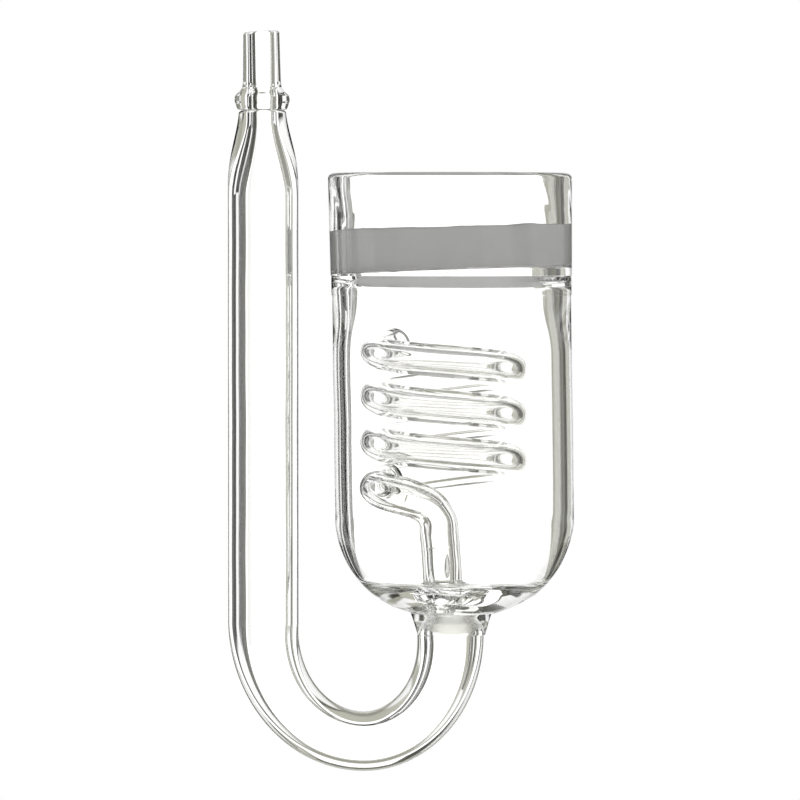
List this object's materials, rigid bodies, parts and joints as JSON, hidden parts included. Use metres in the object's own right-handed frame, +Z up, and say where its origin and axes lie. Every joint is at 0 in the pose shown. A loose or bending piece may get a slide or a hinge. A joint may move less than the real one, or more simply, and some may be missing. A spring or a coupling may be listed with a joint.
{
  "type": "aquarium co2 diffuser",
  "caption": "Clear glass gas diffuser: hose nozzle, U-bent inlet tube, cylindrical chamber with a spiral bubble counter, and a porous ceramic disc sealed across an open ring.",
  "frame": {"origin": "on the stem's axis, halfway up the stem, where a suction-cup clip grips it in use", "axes": "+Z up along the stem towards the hose nozzle, +X from the stem to the chamber, +Y through the bend's plane, away from a viewer who sees the chamber on the right"},
  "size_m": [0.0468, 0.033, 0.1005],
  "materials": {
    "clear_glass": "flame-polished borosilicate glass, clear",
    "fused_glass": "fused glass, slightly milky",
    "sintered_ceramic": "matt, fine-pored"
  },
  "bodies": {
    "root": {"hose_nozzle": "clear_glass", "nozzle_bead": "clear_glass", "stem_tube": "clear_glass", "neck_collar": "fused_glass", "chamber": "clear_glass", "riser_tube": "clear_glass", "spiral_coil": "clear_glass", "seam_weld": "clear_glass", "outlet_ring": "clear_glass", "ceramic_disc": "sintered_ceramic"}
  },
  "joints": []
}
